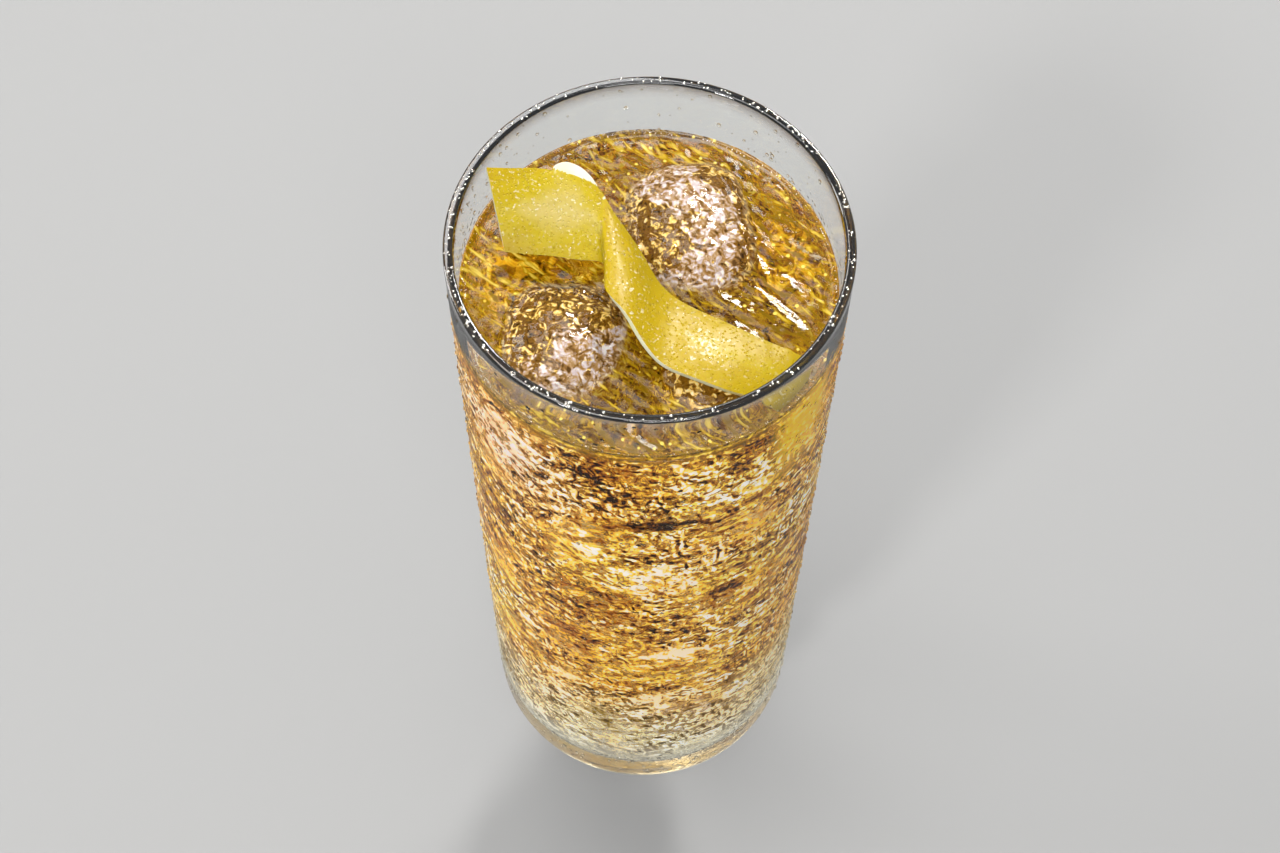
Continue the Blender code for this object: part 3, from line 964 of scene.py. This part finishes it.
peel = {
    "edges": [                     # back and front edge in millimetres, from left end to right end
        ((-26.0, 14.6, 158.4), (-22.9, 3.2, 151.6)),
        ((-21.5, 15.2, 157.5), (-18.8, 3.2, 151.0)),
        ((-17.0, 15.9, 156.4), (-14.8, 3.2, 150.5)),
        ((-12.0, 15.1, 155.4), (-10.5, 2.8, 150.2)),
        ((-8.5, 13.8, 154.6), (-7.5, 2.2, 150.5)),
        ((-6.6, 11.2, 153.9), (-7.0, -1.6, 152.7)),
        ((-4.4, 7.8, 153.0), (-6.6, -5.8, 154.7)),
        ((-2.0, 4.4, 152.1), (-3.6, -9.8, 155.0)),
        ((0.4, 0.4, 151.1), (-0.9, -13.9, 153.8)),
        ((3.4, -3.4, 150.3), (2.8, -17.6, 152.3)),
        ((8.0, -6.3, 150.2), (8.0, -19.8, 151.9)),
        ((13.6, -9.1, 150.1), (12.0, -21.1, 151.2)),
        ((19.6, -11.7, 149.4), (16.0, -21.6, 150.0)),
        ((24.2, -13.3, 148.3), (18.9, -21.8, 148.3)),
        ((26.2, -13.7, 145.6), (20.0, -21.8, 145.6)),
        ((26.1, -13.6, 141.6), (19.9, -21.7, 141.6)),
    ],
    "thickness": 1.5 * mm,
    "edgeThickness": 0.8 * mm,
    "crown": 0.5 * mm,
    "lip": 2.2 * mm,
    "lipPlaces": (2.25, 2.9, 4.1),
    "lipBluntness": 0.7,
    "slopeReach": 0.05,
    "cellsAlong": 300,
    "cellsAcross": 56,
    "undulation": 5.0 * mm,
    "undulationDepth": 0.35 * mm,
    "porePitch": 0.6 * mm,
    "zestPalette": (               # from the middle of the strip to its edges: the zest's own yellow, darker towards the edges as painted shade
        (0.30, (0.60, 0.47, 0.13, 1)),
        (0.62, (0.56, 0.415, 0.010, 1)),
        (1.00, (0.50, 0.34, 0.002, 1)),
    ),
    "deepening": (                 # place along the strip, and how far the palette moves there: painted shade, deepest on the band
        (0.0, 0.25), (0.16, 0.0), (0.30, 0.18), (0.345, 0.55), (0.42, 0.62), (0.58, 0.75),
        (0.66, 0.55), (0.85, 0.50), (1.0, 0.60),
    ),
    "mottle": 0.55,
    "glowDepth": 1.5 * mm,         # how far light spreads in skin and pith
    "poreStrength": 0.6,
    "poreDepth": 0.15 * mm,
    "shineAt": 0.675,              # share along the strip of the brightest painted highlight
    "shineLength": 5.5,            # the larger, the shorter the painted highlight
    "shineColour": (0.95, 0.93, 0.75, 1.0),
    "shineShare": 0.6,
    "pithTones": ((0.74, 0.72, 0.44, 1), (0.86, 0.84, 0.66, 1)),
    "soakedColour": (0.85, 0.58, 0.03, 1.0),   # the back of the end that dips into the drink
    "soakedFrom": (10.0 * mm, 18.0 * mm),
}


def naturalSpline(values):  # cubic curve through evenly spaced values
    count = len(values)
    second = [Vector((0, 0, 0)) for _ in values]
    upper = [0.0] * count
    for i in range(1, count - 1):
        pivot = 4 - upper[i - 1]
        upper[i] = 1 / pivot
        second[i] = (6 * (values[i + 1] - 2 * values[i] + values[i - 1]) - second[i - 1]) / pivot
    for i in range(count - 2, 0, -1):
        second[i] = second[i] - upper[i] * second[i + 1]

    def at(position):
        i = min(int(position), count - 2)
        b = position - i
        a = 1 - b
        bend = (a ** 3 - a) * second[i] + (b ** 3 - b) * second[i + 1]
        return a * values[i] + b * values[i + 1] + bend / 6

    return at


def lipWidth(position):
    start, peak, end = peel["lipPlaces"]
    if position <= start or position >= end:
        return 0.0
    if position < peak:
        share = (position - start) / (peak - start)
        return peel["lip"] * math.sin(share * math.pi / 2) ** peel["lipBluntness"]
    return peel["lip"] * math.cos((position - peak) / (end - peak) * math.pi / 2)


def makeZest():
    material, tree = newMaterial("lemonZest")
    strip = addNode(tree, "UVMap", uv_map="UVMap")
    along, across, _ = splitAxes(tree, strip.outputs["UV"])
    towardsEdge = combine(tree, "ABSOLUTE", minus(tree, across, 0.5))
    mottle = times(tree, objectNoise(tree, 260, 4.0), peel["mottle"])
    deepening = paletteRamp(tree, along, [(stop, (k, k, k, 1)) for stop, k in peel["deepening"]])
    deepening.node.color_ramp.interpolation = "EASE"
    # the zest's tone with random mottle, and painted shade towards the edges and along the strip
    deeper = plus(tree, plus(tree, towardsEdge, mottle), deepening)
    tone = paletteRamp(tree, deeper, peel["zestPalette"])
    # painted highlight: pale glints painted into the zest's colour, densest round one place on the
    # right lobe
    fromHighlight = times(tree, minus(tree, along, peel["shineAt"]), peel["shineLength"])
    away = plus(tree, combine(tree, "ABSOLUTE", fromHighlight), towardsEdge)
    highlightPlace = rampBetween(tree, away, 0.05, 0.40, falling)
    glintSpecks = combine(tree, "MULTIPLY_ADD", highlightPlace, 0.11, objectNoise(tree, 1700, 2.0))
    patches = rampBetween(tree, objectNoise(tree, 230, 2.0), 0.40, 0.60)
    paintedGlints = times(tree, rampBetween(tree, glintSpecks, 0.60, 0.68),
                    combine(tree, "MAXIMUM", highlightPlace, patches))
    skin = mixColours(tree, "MIX", times(tree, paintedGlints, peel["shineShare"]), tone,
                      peel["shineColour"])
    fromPore, _ = cellsAt(tree, objectPlace(tree), 1 / peel["porePitch"])
    pits = rampBetween(tree, fromPore, 0.08, 0.34)
    pits = bumpFrom(tree, pits, peel["poreStrength"], peel["poreDepth"])
    setShader(tree, Base_Color=skin, Roughness=0.34, Specular_IOR_Level=0.25, Normal=pits,
              Subsurface_Weight=0.25, Subsurface_Radius=(0.9, 0.6, 0.12),
              Subsurface_Scale=peel["glowDepth"])
    return material


def makePith():
    material, tree = newMaterial("palePith")
    tone = rampBetween(tree, objectNoise(tree, 300), 0.3, 0.7, peel["pithTones"])
    soaked = rampBetween(tree, splitAxes(tree, objectPlace(tree))[0], *peel["soakedFrom"])
    skin = mixColours(tree, "MIX", soaked, tone, peel["soakedColour"])
    setShader(tree, Base_Color=skin, Roughness=0.55, Subsurface_Weight=0.3,
              Subsurface_Radius=(0.9, 0.8, 0.5), Subsurface_Scale=peel["glowDepth"])
    return material


def addPeel():
    backEdge = naturalSpline([Vector(back) * mm for back, _ in peel["edges"]])
    frontEdge = naturalSpline([Vector(front) * mm for _, front in peel["edges"]])
    last = len(peel["edges"]) - 1
    deselectAll()
    bpy.ops.mesh.primitive_grid_add(x_subdivisions=peel["cellsAlong"],
                                    y_subdivisions=peel["cellsAcross"], size=2)
    strip = startPiece("lemonPeel")
    thickMiddle = strip.vertex_groups.new(name="thickMiddle")
    reach = peel["slopeReach"]
    columns = {}
    pithVerts = set()
    for vert in strip.data.vertices:
        along = (vert.co.x + 1) / 2
        share = (1 - vert.co.y) / 2
        key = round(along * peel["cellsAlong"])
        if key not in columns:
            position = along * last
            back, front = backEdge(position), frontEdge(position)
            nearby = min(position + reach, last)
            before = nearby - 2 * reach
            direction = backEdge(nearby) + frontEdge(nearby) - backEdge(before) - frontEdge(before)
            across = front - back
            width = across.length
            up = across.cross(direction).normalized()
            lip = lipWidth(position)
            columns[key] = (back - across.normalized() * lip, front, up, lip / (width + lip))
        back, front, up, lipShare = columns[key]
        middle = 4 * share * (1 - share)
        vert.co = back.lerp(front, share) + up * (peel["crown"] * middle)
        thickMiddle.add([vert.index], middle, "REPLACE")
        if share < lipShare:
            pithVerts.add(vert.index)
    if strip.data.polygons[len(strip.data.polygons) // 2].normal.z < 0:
        makeActive(strip)
        bpy.ops.object.mode_set(mode="EDIT")
        bpy.ops.mesh.select_all(action="SELECT")
        bpy.ops.mesh.flip_normals()
        bpy.ops.object.mode_set(mode="OBJECT")
    strip.data.materials.append(makeZest())
    strip.data.materials.append(makePith())
    for face in strip.data.polygons:
        if pithVerts.issuperset(face.vertices):
            face.material_index = 1
    displaceBy(strip, "CLOUDS", peel["undulation"], peel["undulationDepth"])
    thin = peel["edgeThickness"] / peel["thickness"]
    applyModifier(strip, "SOLIDIFY", thickness=peel["thickness"], offset=-1,
                  vertex_group="thickMiddle", thickness_vertex_group=thin, material_offset=1,
                  material_offset_rim=1)
    shadeSmooth(strip, 50)
    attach(strip, "root")
    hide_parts("lemon_peel")
    print("peel laid")
    return strip


# Bubbles and drops: one bead copied many times into one mesh

beads = {
    "seed": 7,
    "wallBubbles": 9300,
    "iceBubbles": 4200,
    "shallowBubbles": 900,
    "edgeBubbles": 1100,
    "surfaceBubbles": 500,
    "looseBubbles": 900,
    "coldDrops": 8500,
    "peelDrops": 1500,
    "rimDrops": 240,
    "waterIndex": 1.33,
    "bubbleSilver": 0.9,
    "rimSilver": 0.7,
    "colour": (1, 0.97, 0.9, 1),
    "roughness": 0.03,
}


def takeShape(shape):
    points = np.array([v.co[:] for v in shape.data.vertices])
    faces = [tuple(p.vertices) for p in shape.data.polygons]
    bpy.data.objects.remove(shape, do_unlink=True)
    return points, faces


def bubbleShape():
    deselectAll()
    bpy.ops.mesh.primitive_ico_sphere_add(subdivisions=1, radius=1)
    return takeShape(bpy.context.object)


def dropShape():  # a dome whose flat back lies just inside the wall
    deselectAll()
    bpy.ops.mesh.primitive_uv_sphere_add(segments=6, ring_count=4, radius=1)
    dome = bpy.context.object
    bpy.ops.object.mode_set(mode="EDIT")
    bpy.ops.mesh.select_all(action="SELECT")
    bpy.ops.mesh.bisect(plane_co=(0, 0, -0.05), plane_no=(0, 0, 1), use_fill=True, clear_inner=True)
    bpy.ops.object.mode_set(mode="OBJECT")
    return takeShape(dome)


def joinBeads(name, shape, places, material, slotName):
    # places holds (centre, radius, normal, flatness) of each bead; a flat one lies along its normal
    points, faces = shape
    allPoints, allFaces = [], []
    for centre, radius, normal, flatness in places:
        turn = np.array(Vector(normal).to_track_quat("Z", "Y").to_matrix())
        shaped = points * np.array((radius, radius, radius * flatness))
        offset = len(allPoints) * len(points)
        allPoints.append(shaped @ turn.T + np.array(centre))
        allFaces += [tuple(i + offset for i in face) for face in faces]
    mesh = bpy.data.meshes.new(name)
    mesh.from_pydata(np.concatenate(allPoints), [], allFaces)
    piece = bpy.data.objects.new(name, mesh)
    bpy.context.collection.objects.link(piece)
    shadeSmooth(piece, 80)
    dress(piece, material, slotName, clear=True)
    print(name, len(places))
    return piece


def clearBead(name, index, silver=0.0):  # a silvered bubble mirrors the lights as a real one does
    material, tree = newMaterial(name)
    setShader(tree, Base_Color=beads["colour"], Roughness=beads["roughness"], IOR=index,
              Transmission_Weight=1.0, Metallic=silver)
    return material


def aroundAxis(radius, angle, height):
    return Vector((radius * math.cos(angle), radius * math.sin(angle), height))


def sizeFrom(draw, least, spread, power):  # most are small
    return (least + spread * draw.random() ** power) * mm


def onIce(draw, pieces, least, most, away):  # a bubble that clings to one of the pieces
    piece = draw.choice(pieces)
    vert = piece.data.vertices[draw.randrange(len(piece.data.vertices))]
    size = draw.uniform(least, most) * mm
    return vert.co + vert.normal * size * away, size


def addBubbles(surfaceIce, sunkIce, iceTrees):
    draw = random.Random(beads["seed"])
    shape = bubbleShape()
    silver = clearBead("airInDrink", 1 / drink["index"], beads["bubbleSilver"])
    up = (0, 0, 1)
    places = []
    while len(places) < beads["wallBubbles"]:
        angle = draw.uniform(0, 2 * math.pi)
        height = 13 * mm + (level - 15 * mm) * draw.random() ** 0.9
        spot = aroundAxis(innerRadius(height), angle, height)
        if draw.random() > noise.noise(spot / (9 * mm)) + 0.5:
            continue
        size = sizeFrom(draw, 0.12, 0.32, 2.2)
        places.append((spot - aroundAxis(size * 1.05, angle, 0), size, up, 1))
    joinBeads("wallBubbles", shape, places, silver, "golden_drink")

    places = []
    for _ in range(beads["iceBubbles"]):
        centre, size = onIce(draw, sunkIce, 0.12, 0.35, 1.2)
        inset = innerRadius(centre.z) - math.hypot(centre.x, centre.y)
        if inset > 0.5 * mm and centre.z < level - 2 * mm:
            places.append((centre, size, up, 1))
    for _ in range(beads["looseBubbles"]):
        angle = draw.uniform(0, 2 * math.pi)
        radius = 27 * mm * math.sqrt(draw.random())
        centre = aroundAxis(radius, angle, draw.uniform(12 * mm, level - 2 * mm))
        places.append((centre, draw.uniform(0.08, 0.2) * mm, up, 1))
    joinBeads("risingBubbles", shape, places, silver, "golden_drink")

    places = []
    for _ in range(beads["shallowBubbles"]):
        centre, size = onIce(draw, surfaceIce, 0.08, 0.2, -1.5)
        if centre.z > level - 4 * mm:
            places.append((centre, size, up, 1))
    wallRadius = innerRadius(level)
    for index in range(beads["edgeBubbles"] + beads["surfaceBubbles"]):
        angle = draw.uniform(0, 2 * math.pi)
        size = sizeFrom(draw, 0.12, 0.25, 2)
        inset = sizeFrom(draw, 0.3, 2.2, 1.5)
        if index >= beads["edgeBubbles"]:
            inset = wallRadius * (1 - math.sqrt(draw.random())) + 0.5 * mm
        spot = aroundAxis(wallRadius - inset, angle, 0)
        top, overIce = surfaceHeight(spot.x, spot.y, wallRadius, iceTrees)
        if overIce < 0.5:
            spot.z = top - size * 1.1
            places.append((spot, size, up, 1))
    joinBeads("surfaceBubbles", shape, places, silver, "golden_drink")


def addDrops(strip):
    draw = random.Random(beads["seed"] + 1)
    shape = dropShape()
    water = clearBead("clearWater", beads["waterIndex"])
    places = []
    while len(places) < beads["coldDrops"]:
        angle = draw.uniform(0, 2 * math.pi)
        height = draw.uniform(8 * mm, rimHeight - 1.5 * mm)
        spot = aroundAxis(outerRadius(height) - 0.01 * mm, angle, height)
        crowd = noise.noise(spot / (12 * mm)) + 0.6
        if height > level:
            crowd *= 0.35
        if draw.random() > crowd:
            continue
        places.append((spot, sizeFrom(draw, 0.14, 0.36, 2.5), aroundAxis(1, angle, 0), 0.6))
    joinBeads("coldDrops", shape, places, water, "clear_glass")

    places = []
    for _ in range(beads["rimDrops"]):
        angle = draw.uniform(0, 2 * math.pi)
        spot = aroundAxis(rimRadius - draw.uniform(0.3, 1.3) * mm, angle, rimHeight - 0.03 * mm)
        places.append((spot, sizeFrom(draw, 0.16, 0.2, 2), (0, 0, 1), 0.5))
    silver = clearBead("brightWater", beads["waterIndex"], beads["rimSilver"])
    joinBeads("rimDrops", shape, places, silver, "clear_glass")

    places = []
    faces = strip.data.polygons
    while len(places) < beads["peelDrops"]:
        face = faces[draw.randrange(len(faces))]
        if face.material_index == 0 and face.normal.z > 0.2:
            places.append((face.center, sizeFrom(draw, 0.08, 0.14, 2), face.normal, 0.7))
    joinBeads("peelDrops", shape, places, water, "lemon_zest")


addCamera()
addStudio()
addTumbler()
surfaceIce, sunkIce = addIce()
iceTrees = addDrink(surfaceIce)
strip = addPeel()
addBubbles(surfaceIce, sunkIce, iceTrees)
addDrops(strip)
